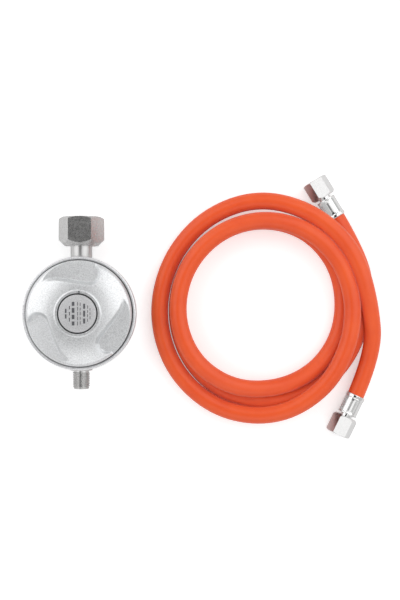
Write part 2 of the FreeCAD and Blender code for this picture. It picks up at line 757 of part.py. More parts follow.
def make_insert():
    """Barbed insert up +Z: hose tail, stop, neck, head and conical seat."""
    tail_radius = hose_bore / 2 - press_gap
    waist = tail_radius - insert_barb_depth
    stop = ferrule_length - ferrule_end_wall - press_gap
    pitch = (stop - insert_plain_tail - insert_tail_start) / insert_barbs
    profile = [(insert_bore_radius, insert_tail_start)]
    for barb in range(insert_barbs):
        base = insert_tail_start + pitch * barb
        crest = base + pitch * insert_barb_share
        profile += [(waist, base), (tail_radius, crest), (waist, crest)]
    head = ferrule_length + neck_length + hose_nut_wall + free_gap
    head_end = head + insert_head_thickness
    tip = head_end + insert_cone_length
    profile += [(waist, stop), (insert_neck_radius, stop), (insert_neck_radius, head),
                (insert_head_radius, head), (insert_head_radius, head_end), (insert_cone_radius, tip),
                (insert_bore_radius, tip)]
    return turned(profile)


def make_hose_nut():
    """Left-hand union nut of the hose, up +Z from its back wall."""
    nut = union_nut(hose_nut_flats, hose_nut_length, hose_nut_wall, insert_neck_radius + thread_gap,
                    hose_nut_relief_radius, hose_nut_thread_radius, hose_nut_thread_length,
                    hose_nut_back_skirt)
    nut.translate(V(0, 0, ferrule_length + neck_length))
    return nut


def tail_route(mouth, way, bend, inner_point, name):
    """Route from the hose's end inside the ferrule to where it joins the coil."""
    hose_stop = ferrule_length - ferrule_end_wall - press_gap
    points = [mouth + way * hose_stop, mouth - way * (bend - hose_stop), inner_point]
    return route_wire([coil_centre + point for point in points], name)


def make_coil(routes, ferrules):
    """Outer shape of the coil's turns, with a channel where each end leaves it."""
    hose_radius = hose_diameter / 2
    low_z = hose_radius
    high_z = low_z + hose_diameter + layer_gap
    lanes = [(coil_outer_lane, low_z), (coil_upper_outer_lane, high_z), (coil_upper_inner_lane, high_z),
             (coil_inner_lane, low_z)]
    circles = [Part.Face(Part.Wire(Part.makeCircle(hose_radius, V(radius, 0, height), -Y_AXIS)))
               for radius, height in lanes]
    section = ring_profile(lanes).fuse(circles).removeSplitter().Faces[0]
    ring = section.revolve(V(0, 0, 0), Z_AXIS, 360)
    ring.translate(coil_centre + V(coil_ring_shift, 0, 0))
    for route in routes:
        ring = ring.cut(swept_disc(route, hose_radius + channel_gap))
    for mouth, way in ferrules:
        start = coil_centre + mouth - way * free_gap
        ring = ring.cut(rod(ferrule_ring_radius + free_gap, start, start + way * ferrule_length * 2))
    return ring


def make_parts():
    """All sub-parts by node name."""
    way_a = V(fitting_a_way).normalize()
    way_b = V(fitting_b_way).normalize()
    route_a = tail_route(fitting_a_mouth, way_a, tail_a_bend, tail_a_inner_point, "tail a")
    route_b = tail_route(fitting_b_mouth, way_b, tail_b_bend, tail_b_inner_point, "tail b")
    ends = {"a": (fitting_a_mouth, way_a, route_a), "b": (fitting_b_mouth, way_b, route_b)}
    parts = {
        "body_casting": make_body_casting(),
        "cover": make_cover(),
        "label_cap": make_label_cap(),
        "cap_seal": make_cap_seal(),
        "adjusting_screw": make_adjusting_screw(),
        "main_spring": make_main_spring(),
        "diaphragm": make_diaphragm(),
        "diaphragm_plate": make_diaphragm_plate(),
        "diaphragm_stem": make_diaphragm_stem(),
        "stem_nut": make_stem_nut(),
        "lever": make_lever(),
        "lever_pin": make_lever_pin(),
        "valve_carrier": make_valve_carrier(),
        "valve_pad": make_valve_pad(),
        "nozzle": make_nozzle(),
        "inlet_spigot": make_inlet_spigot(),
        "inlet_filter": make_inlet_filter(),
        "inlet_gasket": make_inlet_gasket(),
        "inlet_nut": make_inlet_nut(),
        "outlet_nipple": make_outlet_nipple(),
        "hose_coil": make_coil([route_a, route_b], [(fitting_a_mouth, way_a), (fitting_b_mouth, way_b)]),
    }
    for end, (mouth, way, route) in ends.items():
        place = coil_centre + mouth
        tube = swept_disc(route, hose_diameter / 2).cut(swept_disc(route, hose_bore / 2))
        parts["hose_tail_" + end] = tube
        parts["ferrule_" + end] = placed(make_ferrule(), place, way)
        parts["insert_" + end] = placed(make_insert(), place, way)
        parts["hose_nut_" + end] = placed(make_hose_nut(), place, way)
    return parts


def main():
    """Write one STEP file per sub-part."""
    os.makedirs("parts", exist_ok=True)
    for name, shape in make_parts().items():
        solids = shape.Solids
        if not solids or not shape.isValid():
            raise ValueError(name + " isn't a sound solid")
        whole = solids[0] if len(solids) == 1 else Part.makeCompound(solids)
        whole.exportStep("parts/" + name + ".step")
        print(name, len(solids), "solid", round(whole.Volume), "mm3")


main()
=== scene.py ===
"""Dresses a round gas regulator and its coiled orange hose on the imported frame."""
import math

import bmesh
import bpy
import numpy as np
from bpy.props import FloatProperty, FloatVectorProperty, IntProperty, PointerProperty
from mathutils import Matrix, Vector


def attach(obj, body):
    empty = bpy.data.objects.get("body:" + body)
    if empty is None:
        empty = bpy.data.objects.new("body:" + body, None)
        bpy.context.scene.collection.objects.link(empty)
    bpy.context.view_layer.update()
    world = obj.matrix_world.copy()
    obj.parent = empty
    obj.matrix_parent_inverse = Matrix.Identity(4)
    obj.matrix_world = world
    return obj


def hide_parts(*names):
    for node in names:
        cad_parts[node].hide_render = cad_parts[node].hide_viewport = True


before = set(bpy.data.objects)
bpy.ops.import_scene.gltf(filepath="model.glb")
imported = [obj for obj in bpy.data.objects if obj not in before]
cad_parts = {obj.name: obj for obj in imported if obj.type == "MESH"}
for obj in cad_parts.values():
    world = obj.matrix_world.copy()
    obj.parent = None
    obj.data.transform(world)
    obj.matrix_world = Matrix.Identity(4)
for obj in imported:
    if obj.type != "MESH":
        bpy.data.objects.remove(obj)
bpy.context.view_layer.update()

bl_info = {
    "name": "Gas regulator and coiled hose",
    "version": (1, 0, 0),
    "blender": (4, 5, 0),
    "location": "View3D > Sidebar > Gas set",
    "description": "Builds the visible pieces of a gas regulator and its coiled hose",
    "category": "Add Mesh",
}

MM = 0.001
BODY = "regulator_and_hose"

# The gas passage's height, and the hose's two ends, as in the solids
GAS_Z = 18.0
COIL_CENTRE = Vector((142.0, 4.0, 0.0))
END_MOUTH = {"a": Vector((52.9, 69.4, 8.5)), "b": Vector((67.8, -66.9, 8.5))}
END_WAY = {"a": Vector((-0.527, 0.850, 0.0)).normalized(), "b": Vector((-0.436, -0.900, 0.0)).normalized()}
TAIL_BEND = {"a": 38.0, "b": 48.0}

# A hose fitting from its ferrule's mouth: the ferrule and its end wall, the bare neck and the nut's back wall
FERRULE_LENGTH = 16.2
FERRULE_WALL = 1.0
NECK_LENGTH = 1.8
NUT_WALL = 3.0
SLIP = 0.02
HOSE_STOP = FERRULE_LENGTH - FERRULE_WALL - SLIP
NECK_RADIUS = 4.5

# Heights of the cap's seat and of the bezel round it, and the ring groove's radius
CAP_SEAT = 46.5
BEZEL_TOP = 48.4
RING_RADIUS = 15.0
OUTLET_RADIUS = 6.58

# One turn's stations: angle in degrees, radius and height of the hose's middle in mm
COIL_STATIONS = (
    (5, 77.0, 20.3), (35, 78.4, 21.5), (65, 80.8, 18.4), (95, 85.1, 13.8), (155, 84.6, 8.7), (215, 87.6, 9.9),
    (245, 87.6, 12.8), (275, 83.7, 17.1), (305, 75.3, 19.7), (335, 67.7, 20.0), (365, 65.2, 19.9),
    (455, 68.8, 19.7), (545, 71.1, 19.7), (575, 70.6, 19.2), (605, 67.3, 17.4), (635, 62.6, 13.9),
    (695, 59.6, 7.9), (725, 59.6, 7.0), (785, 67.2, 6.6), (845, 70.4, 6.6), (905, 72.1, 6.6),
    (965, 75.0, 6.6), (995, 73.8, 6.6), (1055, 73.9, 6.6),
)
COIL_STEP = 30
TAIL_A_POINTS = ((77.4, 14.1, 6.6), (64.9, 50.0, 8.5))

# The comet recess's edge as (angle, share of the cover's radius), and its falling floor
COVER_RADIUS = 39.5
SWIRL_EDGE = ((146.0, 0.952), (140.4, 0.901), (125.7, 0.790), (101.0, 0.615), (82.0, 0.577),
              (69.8, 0.592), (62.0, 0.660), (60.4, 0.775), (63.2, 0.868), (69.0, 0.952))
SWIRL_COUNT = 3
SWIRL_FLOOR = (43.4, 0.13, 52.0)

# The vent's angle and its place on the bezel
VENT_ANGLE = 86.0
VENT_PLACE = 15.95

# The camera's place over the floor, and how far the floor reaches
CAMERA_PLACE = (0.090, 0.010)
FLOOR_REACH = 4.0

# Sealed pieces that keep the frame's own mesh, by finish
INNER_PIECES = {
    "turned_brass": ("adjusting_screw", "diaphragm_stem", "valve_carrier", "nozzle", "inlet_filter"),
    "spring_steel": ("main_spring", "lever_pin"),
    "pressed_steel": ("diaphragm_plate", "stem_nut", "lever"),
    "black_rubber": ("diaphragm", "valve_pad"),
}


def colour_setting(name, description, default):
    return FloatVectorProperty(name=name, description=description, default=default, subtype="COLOR", size=3,
                               min=0.0, max=1.0)


def length_setting(name, description, default):
    return FloatProperty(name=name, description=description, default=default * MM, unit="LENGTH",
                         subtype="DISTANCE", min=0.0)


class RegulatorSettings(bpy.types.PropertyGroup):
    """Sizes and finishes of the regulator."""

    cover_colour: colour_setting("Cover paint", "Silver paint of the domed cover", (0.78, 0.79, 0.80))
    casting_colour: colour_setting("Casting paint", "Satin silver of the body casting", (0.80, 0.80, 0.81))
    plate_colour: colour_setting("Plating", "Nickel plate of the nuts, neck and outlet", (0.64, 0.635, 0.63))
    cap_colour: colour_setting("Cap", "Satin plate of the round cap", (0.64, 0.64, 0.65))
    print_colour: colour_setting("Cap print", "Dark print of the bars on the cap", (0.05, 0.05, 0.055))
    recess_wall: length_setting("Recess wall", "Width of the sloped wall round each recess", 2.6)
    outlet_pitch: length_setting("Outlet pitch", "Thread pitch of the outlet", 1.337)
    inlet_pitch: length_setting("Inlet pitch", "Thread pitch inside the inlet nut", 1.814)


class HoseSettings(bpy.types.PropertyGroup):
    """Sizes and finishes of the hose and its fittings."""

    hose_diameter: length_setting("Hose diameter", "Outside diameter of the hose", 13.0)
    hose_length: FloatProperty(name="Hose length", description="Real length of the hose", default=1.5,
                               unit="LENGTH", subtype="DISTANCE")
    hose_colour: colour_setting("Hose", "Orange rubber of the hose", (0.85, 0.088, 0.014))
    fitting_colour: colour_setting("Fittings", "Bright nickel of ferrules and nuts", (0.80, 0.795, 0.79))
    crimp_panels: IntProperty(name="Crimp panels", description="Flats pressed round each ferrule", default=8,
                              min=4, max=16)


class StageSettings(bpy.types.PropertyGroup):
    """Camera, lamps and floor."""

    camera_height: FloatProperty(name="Camera height", description="Height of the camera over the floor",
                                 default=0.9, unit="LENGTH", subtype="DISTANCE")
    lens: FloatProperty(name="Lens", description="Focal length of the camera", default=69.7, unit="CAMERA")
    side_power: FloatProperty(name="Side lamps", description="Power of each side lamp", default=5.4,
                              unit="POWER")
    low_power: FloatProperty(name="Low lamp", description="Power of the lamp below the view", default=2.0,
                             unit="POWER")
    overhead_power: FloatProperty(name="Overhead lamp", description="Power of the lamp over the hose's ends",
                                  default=0.42, unit="POWER")
    world_level: FloatProperty(name="World", description="Strength of the even light all round", default=0.64)


def settings(kind):
    return getattr(bpy.context.scene, "gas_set_" + kind)


class Value:
    """A node's output that takes part in ordinary arithmetic."""

    def __init__(self, graph, socket):
        self.graph = graph
        self.socket = socket

    def maths(self, operation, *terms):
        node = self.graph.node("ShaderNodeMath", {"operation": operation}, dict(enumerate(terms)))
        return Value(self.graph, node.outputs[0])

    def __add__(self, other):
        return self.maths("ADD", self, other)

    def __sub__(self, other):
        return self.maths("SUBTRACT", self, other)

    def __rsub__(self, other):
        return self.maths("SUBTRACT", other, self)

    def __mul__(self, other):
        return self.maths("MULTIPLY", self, other)

    __radd__ = __add__
    __rmul__ = __mul__

    def lowest(self, other):
        return self.maths("MINIMUM", self, other)

    def above(self, edge, width):
        """0 below the edge, 1 above edge + width, straight between."""
        node = self.graph.node("ShaderNodeMapRange", {"clamp": True}, {0: self, 1: edge, 2: edge + width})
        return Value(self.graph, node.outputs[0])


class Graph:
    """A shader or geometry tree, built one node at a time."""

    def __init__(self, tree):
        self.tree = tree

    def node(self, kind, options=None, feeds=None):
        """A node of a type, with its settings first and then its sockets' values or links."""
        made = self.tree.nodes.new(kind)
        for key, value in (options or {}).items():
            if key == "stops":
                ramp = made.color_ramp
                while len(ramp.elements) < len(value):
                    ramp.elements.new(0.5)
                for element, (place, colour) in zip(ramp.elements, value):
                    element.position = place
                    element.color = (*colour, 1.0)
            else:
                setattr(made, key, value)
        for key, value in (feeds or {}).items():
            socket = made.inputs[key]
            if isinstance(value, Value):
                self.tree.links.new(value.socket, socket)
            elif isinstance(value, bpy.types.NodeSocket):
                self.tree.links.new(value, socket)
            else:
                socket.default_value = value
        return made

    def value(self, kind, options=None, feeds=None, output=0):
        return Value(self, self.node(kind, options, feeds).outputs[output])

    def place(self):
        """The point on the piece, in metres."""
        return self.value("ShaderNodeTexCoord", output=3)

    def noise(self, scale, detail=3.0, roughness=0.5, vector=None):
        feeds = {0: vector or self.place(), 2: scale, 3: detail, 4: roughness}
        return self.value("ShaderNodeTexNoise", {}, feeds)

    def mix(self, amount, low, high):
        """Colour between two colours."""
        low, high = [(*c, 1.0) if isinstance(c, (tuple, list)) and len(c) == 3 else c for c in (low, high)]
        return self.value("ShaderNodeMix", {"data_type": "RGBA"}, {0: amount, 6: low, 7: high}, output=2)

    def bump(self, height, strength, distance):
        feeds = {"Strength": strength, "Distance": distance, "Height": height}
        return self.value("ShaderNodeBump", {}, feeds)


def tint(colour, level):
    """A colour made lighter or darker."""
    return tuple(min(1.0, c * level) for c in colour)


def finish(name):
    """A new material and the Graph of its nodes."""
    material = bpy.data.materials.new(name)
    material.use_nodes = True
    material.node_tree.nodes.clear()
    return material, Graph(material.node_tree)


def close_finish(material, graph, feeds):
    shader = graph.node("ShaderNodeBsdfPrincipled", {}, feeds)
    graph.node("ShaderNodeOutputMaterial", {}, {"Surface": shader.outputs[0]})
    return material


def silver_paint(name, colour, grain=1250.0, metallic=0.80, rough=0.26):
    """Fine-grained silver paint over a casting."""
    material, g = finish(name)
    speck = g.noise(grain, 2.0, 0.6)
    cloud = g.noise(60.0, 3.0, 0.5)
    shade = g.mix(speck.above(0.3, 0.4), tint(colour, 0.74), tint(colour, 1.16))
    colour_out = g.mix(cloud.above(0.35, 0.3) * 0.35, shade, (*tint(colour, 0.93), 1.0))
    return close_finish(material, g, {
        "Base Color": colour_out, "Metallic": metallic, "Roughness": rough + speck * 0.14,
        "Normal": g.bump(speck, 0.45, 0.00020)})


def plated(name, colour, rough=0.14, lines=5200.0, axis=1, turned=0.25):
    """Bright plate with fine tool lines round an axis and a little handling wear."""
    material, g = finish(name)
    place = g.node("ShaderNodeSeparateXYZ", {}, {0: g.place()})
    along = Value(g, place.outputs[axis])
    groove = g.noise(lines, 2.0, 0.6, vector=g.value("ShaderNodeCombineXYZ", {}, {0: along}))
    smear = g.noise(420.0, 4.0, 0.62)
    shade = g.mix(smear.above(0.42, 0.26), tint(colour, 0.94), colour)
    return close_finish(material, g, {
        "Base Color": shade, "Metallic": 1.0,
        "Roughness": rough + smear.above(0.45, 0.3) * 0.05 + groove * 0.05,
        "Normal": g.bump(groove, turned, 0.00003)})


def orange_rubber(name, colour):
    """Smooth extruded hose: soft shine, faint bloom and fine die lines."""
    material, g = finish(name)
    bloom = g.noise(38.0, 4.0, 0.55)
    fine = g.noise(1500.0, 3.0, 0.6)
    warmer = (colour[0], colour[1] * 1.18, colour[2] * 1.2, 1.0)
    shade = g.mix(bloom.above(0.35, 0.35), tint(colour, 0.93), warmer)
    return close_finish(material, g, {
        "Base Color": shade, "Roughness": 0.33 + fine * 0.10 + bloom * 0.06, "Coat Weight": 0.15,
        "Coat Roughness": 0.09, "Specular IOR Level": 0.4, "Normal": g.bump(fine, 0.10, 0.00008)})


def dark_rubber(name, colour=(0.022, 0.022, 0.024)):
    """Matt black moulded rubber."""
    material, g = finish(name)
    fine = g.noise(2200.0, 3.0, 0.6)
    return close_finish(material, g, {
        "Base Color": g.mix(fine, tint(colour, 0.8), tint(colour, 1.5)), "Roughness": 0.52 + fine * 0.2,
        "Normal": g.bump(fine, 0.3, 0.00008)})


def brass(name, colour=(0.72, 0.50, 0.22)):
    material, g = finish(name)
    smear = g.noise(220.0, 4.0, 0.6)
    return close_finish(material, g, {
        "Base Color": g.mix(smear, tint(colour, 0.86), tint(colour, 1.06)), "Metallic": 1.0,
        "Roughness": 0.22 + smear * 0.14, "Normal": g.bump(smear, 0.05, 0.00005)})


def dull_steel(name, colour):
    material, g = finish(name)
    brushed = g.noise(900.0, 3.0, 0.6)
    return close_finish(material, g, {
        "Base Color": g.mix(brushed, tint(colour, 0.88), tint(colour, 1.05)), "Metallic": 1.0,
        "Roughness": 0.26 + brushed * 0.16, "Normal": g.bump(brushed, 0.08, 0.00005)})


def ink(name, colour):
    material, g = finish(name)
    worn = g.noise(1800.0, 3.0, 0.6)
    return close_finish(material, g, {
        "Base Color": g.mix(worn, colour, tint(colour, 2.2)), "Roughness": 0.45 + worn * 0.1})


def tidy_mesh(mesh, sharp=34.0, recalc=True, merge=2e-6):
    """Merge doubles, turn faces outwards, and smooth all but the sharp edges."""
    work = bmesh.new()
    work.from_mesh(mesh)
    bmesh.ops.remove_doubles(work, verts=work.verts, dist=merge)
    if recalc:
        bmesh.ops.recalc_face_normals(work, faces=work.faces)
    limit = math.radians(sharp)
    for face in work.faces:
        face.smooth = True
    for edge in work.edges:
        edge.smooth = len(edge.link_faces) != 2 or edge.calc_face_angle(0.0) < limit
    work.to_mesh(mesh)
    work.free()
    mesh.update()
    return mesh


def piece(name, mesh, material, body, nodes=()):
    """Show a mesh as a piece that rides on a body and stands for frame nodes."""
    mesh.name = name
    mesh.materials.clear()
    mesh.materials.append(material)
    obj = bpy.data.objects.new(name, mesh)
    bpy.context.scene.collection.objects.link(obj)
    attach(obj, body)
    if nodes:
        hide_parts(*nodes)
    return obj


def mesh_of(points, faces, matrix=None, sharp=34.0):
    mesh = bpy.data.meshes.new("work")
    mesh.from_pydata([tuple(p) for p in points], [], faces)
    if matrix is not None:
        mesh.transform(matrix)
    return tidy_mesh(mesh, sharp)


def rounded(corners, steps=4):
    """A closed profile of (radius, height[, rounding]) corners, with its arcs."""
    path = []
    count = len(corners)
    for k, corner in enumerate(corners):
        here = Vector(corner[:2])
        size = corner[2] if len(corner) > 2 else 0.0
        if not size:
            path.append(tuple(here))
            continue
        before = (Vector(corners[k - 1][:2]) - here).normalized()
        after = (Vector(corners[(k + 1) % count][:2]) - here).normalized()
        half = before.angle(after) / 2
        reach = size / math.tan(half)
        centre = here + (before + after).normalized() * (size / math.sin(half))
        first = here + before * reach - centre
        last = here + after * reach - centre
        turn = first.angle_signed(last)
        for step in range(steps + 1):
            angle = -turn * step / steps
            x = first.x * math.cos(angle) - first.y * math.sin(angle)
            y = first.x * math.sin(angle) + first.y * math.cos(angle)
            path.append((centre.x + x, centre.y + y))
    return path


def turned_mesh(profile, matrix=None, segments=96, sharp=34.0):
    """A closed shape turned round +Z from a closed profile in mm."""
    points, faces = [], []
    count = len(profile)
    for s in range(segments):
        angle = 2 * math.pi * s / segments
        for radius, height in profile:
            points.append((radius * MM * math.cos(angle), radius * MM * math.sin(angle), height * MM))
    for s in range(segments):
        after = (s + 1) % segments
        for k in range(count):
            nxt = (k + 1) % count
            if profile[k][0] < 1e-9 and profile[nxt][0] < 1e-9:
                continue
            faces.append((s * count + k, after * count + k, after * count + nxt, s * count + nxt))
    return mesh_of(points, faces, matrix, sharp)


def prism(across_flats, low, high, sides=6, turn=0.0):
    """A plain prism up +Z with a flat facing +X, as mm."""
    corner = across_flats / 2 / math.cos(math.pi / sides)
    ring = [(corner * math.cos(turn + math.pi * (2 * k + 1) / sides),
             corner * math.sin(turn + math.pi * (2 * k + 1) / sides)) for k in range(sides)]
    points = [(x * MM, y * MM, low * MM) for x, y in ring] + [(x * MM, y * MM, high * MM) for x, y in ring]
    faces = [tuple(range(sides))[::-1], tuple(range(sides, 2 * sides))]
    faces += [(k, (k + 1) % sides, sides + (k + 1) % sides, sides + k) for k in range(sides)]
    return mesh_of(points, faces, sharp=20.0)


def carved(mesh, tools, bevel=0.0):
    """A mesh after exact booleans with (operation, mesh) tools, then an edge bevel in mm."""
    base = bpy.data.objects.new("work", mesh)
    bpy.context.scene.collection.objects.link(base)
    extras = []
    for operation, tool in tools:
        cutter = bpy.data.objects.new("tool", tool)
        bpy.context.scene.collection.objects.link(cutter)
        extras.append(cutter)
        step = base.modifiers.new("cut", "BOOLEAN")
        step.operation = operation
        step.solver = "EXACT"
        step.object = cutter
    if bevel:
        edge = base.modifiers.new("edge", "BEVEL")
        edge.width = bevel * MM
        edge.segments = 3
        edge.limit_method = "ANGLE"
        edge.angle_limit = math.radians(24)
        edge.use_clamp_overlap = True
    made = plain_copy(base)
    for obj in (base, *extras):
        bpy.data.objects.remove(obj)
    return made


def plain_copy(obj):
    """The evaluated mesh of an object, with nothing live on it."""
    graph = bpy.context.evaluated_depsgraph_get()
    graph.update()
    return bpy.data.meshes.new_from_object(obj.evaluated_get(graph))


def joined(*meshes):
    """Several meshes as one."""
    work = bmesh.new()
    for mesh in meshes:
        work.from_mesh(mesh)
    out = bpy.data.meshes.new("work")
    work.to_mesh(out)
    work.free()
    return out


def along_y(start, way=1):
    """Places what is built up +Z along +Y or -Y from a start, at the gas passage's height."""
    turn = Matrix.Rotation(math.radians(-90 * way), 4, "X")
    return Matrix.Translation((0, start * MM, GAS_Z * MM)) @ turn


def at_end(end):
    """Places what is built up +Z on one of the hose's fitting ends."""
    way = END_WAY[end]
    side = way.cross(Vector((0, 0, 1)))
    turn = Matrix((Vector((0, 0, 1)), side, way)).transposed().to_4x4()
    return Matrix.Translation((COIL_CENTRE + END_MOUTH[end]) * MM) @ turn


def frame_mesh(node, sharp=28.0):
    """A merged, smoothed copy of a frame node's mesh."""
    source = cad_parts[node]
    mesh = source.data.copy()
    mesh.transform(source.matrix_world)
    work = bmesh.new()
    work.from_mesh(mesh)
    bmesh.ops.remove_doubles(work, verts=work.verts, dist=2e-6)
    bmesh.ops.dissolve_limit(work, angle_limit=math.radians(0.4), verts=work.verts, edges=work.edges)
    work.to_mesh(mesh)
    work.free()
    if mesh.has_custom_normals:
        mesh.normals_split_custom_set([(0, 0, 0)] * len(mesh.loops))
    return tidy_mesh(mesh, sharp, recalc=False)


def new_tree(name, inputs):
    """A geometry tree with named inputs: its Graph, and the inputs as Values by name."""
    tree = bpy.data.node_groups.new(name, "GeometryNodeTree")
    for label, kind in inputs:
        tree.interface.new_socket(name=label, in_out="INPUT", socket_type=kind)
    tree.interface.new_socket(name="Geometry", in_out="OUTPUT", socket_type="NodeSocketGeometry")
    graph = Graph(tree)
    start = graph.node("NodeGroupInput")
    feeds = {label: Value(graph, start.outputs[label]) for label, _ in inputs}
    return graph, feeds


def close_tree(graph, geometry, material):
    plain = graph.value("GeometryNodeRealizeInstances", {}, {0: geometry})
    dressed = graph.value("GeometryNodeSetMaterial", {}, {0: plain, 2: material})
    graph.node("NodeGroupOutput", {}, {0: dressed})
    return graph.tree


def grown(tree, values):
    """The plain mesh that a geometry tree makes from its inputs' values."""
    obj = bpy.data.objects.new("grown", bpy.data.meshes.new("grown"))
    modifier = obj.modifiers.new("tree", "NODES")
    modifier.node_group = tree
    for item in tree.interface.items_tree:
        if item.in_out == "INPUT" and item.name in values:
            modifier[item.identifier] = values[item.name]
    bpy.context.scene.collection.objects.link(obj)
    mesh = plain_copy(obj)
    obj.modifiers.clear()
    bpy.data.objects.remove(obj)
    return mesh


def thread_tree():
    """A left-hand screw thread: a ridge swept up a spiral, fading out at both ends."""
    labels = (("Radius", "NodeSocketFloat"), ("Pitch", "NodeSocketFloat"), ("Turns", "NodeSocketFloat"),
              ("Depth", "NodeSocketFloat"), ("Foot", "NodeSocketFloat"), ("Crest", "NodeSocketFloat"),
              ("Sink", "NodeSocketFloat"), ("Material", "NodeSocketMaterial"))
    g, a = new_tree("left_hand_thread", labels)
    spiral = g.value("GeometryNodeCurveSpiral", {}, {0: 48, 1: a["Turns"], 2: a["Radius"], 3: a["Radius"],
                                                     4: a["Pitch"] * a["Turns"], 5: False})
    level = g.value("GeometryNodeSetCurveNormal", {"mode": "Z_UP"}, {0: spiral})
    corner = [g.value("ShaderNodeCombineXYZ", {}, {0: out, 1: up}) for out, up in (
        (a["Sink"], a["Foot"] * -0.5), (a["Sink"], a["Foot"] * 0.5), (a["Depth"], a["Crest"] * 0.5),
        (a["Depth"], a["Crest"] * -0.5))]
    section = g.value("GeometryNodeCurvePrimitiveQuadrilateral", {"mode": "POINTS"},
                      {7: corner[0], 8: corner[1], 9: corner[2], 10: corner[3]})
    along = g.value("GeometryNodeSplineParameter")
    end = (1 - along).lowest(along) * a["Turns"] * 2.5
    size = end.lowest(1.0)
    ridge = g.value("GeometryNodeCurveToMesh", {}, {0: level, 1: section, 2: size, 3: True})
    return close_tree(g, ridge, a["Material"])


def thread(material, radius, pitch, length, depth, inward=False):
    """A left-hand thread ridge's mesh up +Z, in mm, that grows outwards or, in a nut, inwards."""
    way = 1.0 if inward else -1.0
    mesh = grown(bpy.data.node_groups.get("left_hand_thread") or thread_tree(), {
        "Radius": radius * MM, "Pitch": pitch * MM, "Turns": (length - pitch) / pitch,
        "Depth": way * depth * MM, "Foot": pitch * 0.86 * MM, "Crest": pitch * 0.16 * MM,
        "Sink": -way * 0.12 * MM, "Material": material})
    mesh.transform(Matrix.Translation((0, 0, pitch / 2 * MM)))
    return tidy_mesh(mesh, 20.0)


def bar_rows_tree():
    """Rows of plain bars of differing length on a round face."""
    labels = (("Bars", "NodeSocketInt"), ("Spacing", "NodeSocketFloat"), ("Row", "NodeSocketFloat"),
              ("Width", "NodeSocketFloat"), ("Shortest", "NodeSocketFloat"), ("Longest", "NodeSocketFloat"),
              ("Thickness", "NodeSocketFloat"), ("Seed", "NodeSocketInt"), ("Material", "NodeSocketMaterial"))
    g, a = new_tree("bar_rows", labels)
    start = g.value("ShaderNodeCombineXYZ", {}, {0: a["Row"], 1: (a["Bars"] - 1) * a["Spacing"] * -0.5})
    step = g.value("ShaderNodeCombineXYZ", {}, {1: a["Spacing"]})
    line = g.value("GeometryNodeMeshLine", {"mode": "OFFSET"}, {0: a["Bars"], 2: start, 3: step})
    cube = g.value("GeometryNodeMeshCube", {}, {0: (1.0, 1.0, 1.0)})
    reach = g.value("FunctionNodeRandomValue", {"data_type": "FLOAT"},
                    {2: a["Shortest"], 3: a["Longest"], 8: a["Seed"]}, output=1)
    size = g.value("ShaderNodeCombineXYZ", {}, {0: a["Width"], 1: reach, 2: a["Thickness"]})
    bars = g.value("GeometryNodeInstanceOnPoints", {}, {0: line, 2: cube, 6: size})
    return close_tree(g, bars, a["Material"])


def area_lamp(name, place, target, size, power):
    lamp = bpy.data.lights.new(name, "AREA")
    lamp.shape = "RECTANGLE"
    lamp.size, lamp.size_y = size
    lamp.energy = power
    obj = bpy.data.objects.new(name, lamp)
    obj.location = place
    obj.rotation_euler = (Vector(target) - Vector(place)).to_track_quat("-Z", "Y").to_euler()
    bpy.context.scene.collection.objects.link(obj)
    return obj


def plain_sheet(name, corners, material):
    mesh = bpy.data.meshes.new(name)
    mesh.from_pydata(corners, [], [tuple(range(len(corners)))])
    mesh.materials.append(material)
    obj = bpy.data.objects.new(name, mesh)
    bpy.context.scene.collection.objects.link(obj)
    return obj


class GASSET_OT_camera(bpy.types.Operator):
    """Place the camera straight above the set"""

    bl_idname = "gas_set.camera"
    bl_label = "Camera"

    def execute(self, context):
        sizes = settings("stage")
        data = bpy.data.cameras.new("camera")
        data.sensor_width = 36.0
        data.lens = sizes.lens
        data.clip_end = 20.0
        camera = bpy.data.objects.new("camera", data)
        camera.location = (*CAMERA_PLACE, sizes.camera_height)
        context.scene.collection.objects.link(camera)
        context.scene.camera = camera
        context.scene.view_settings.view_transform = "Standard"
        return {"FINISHED"}


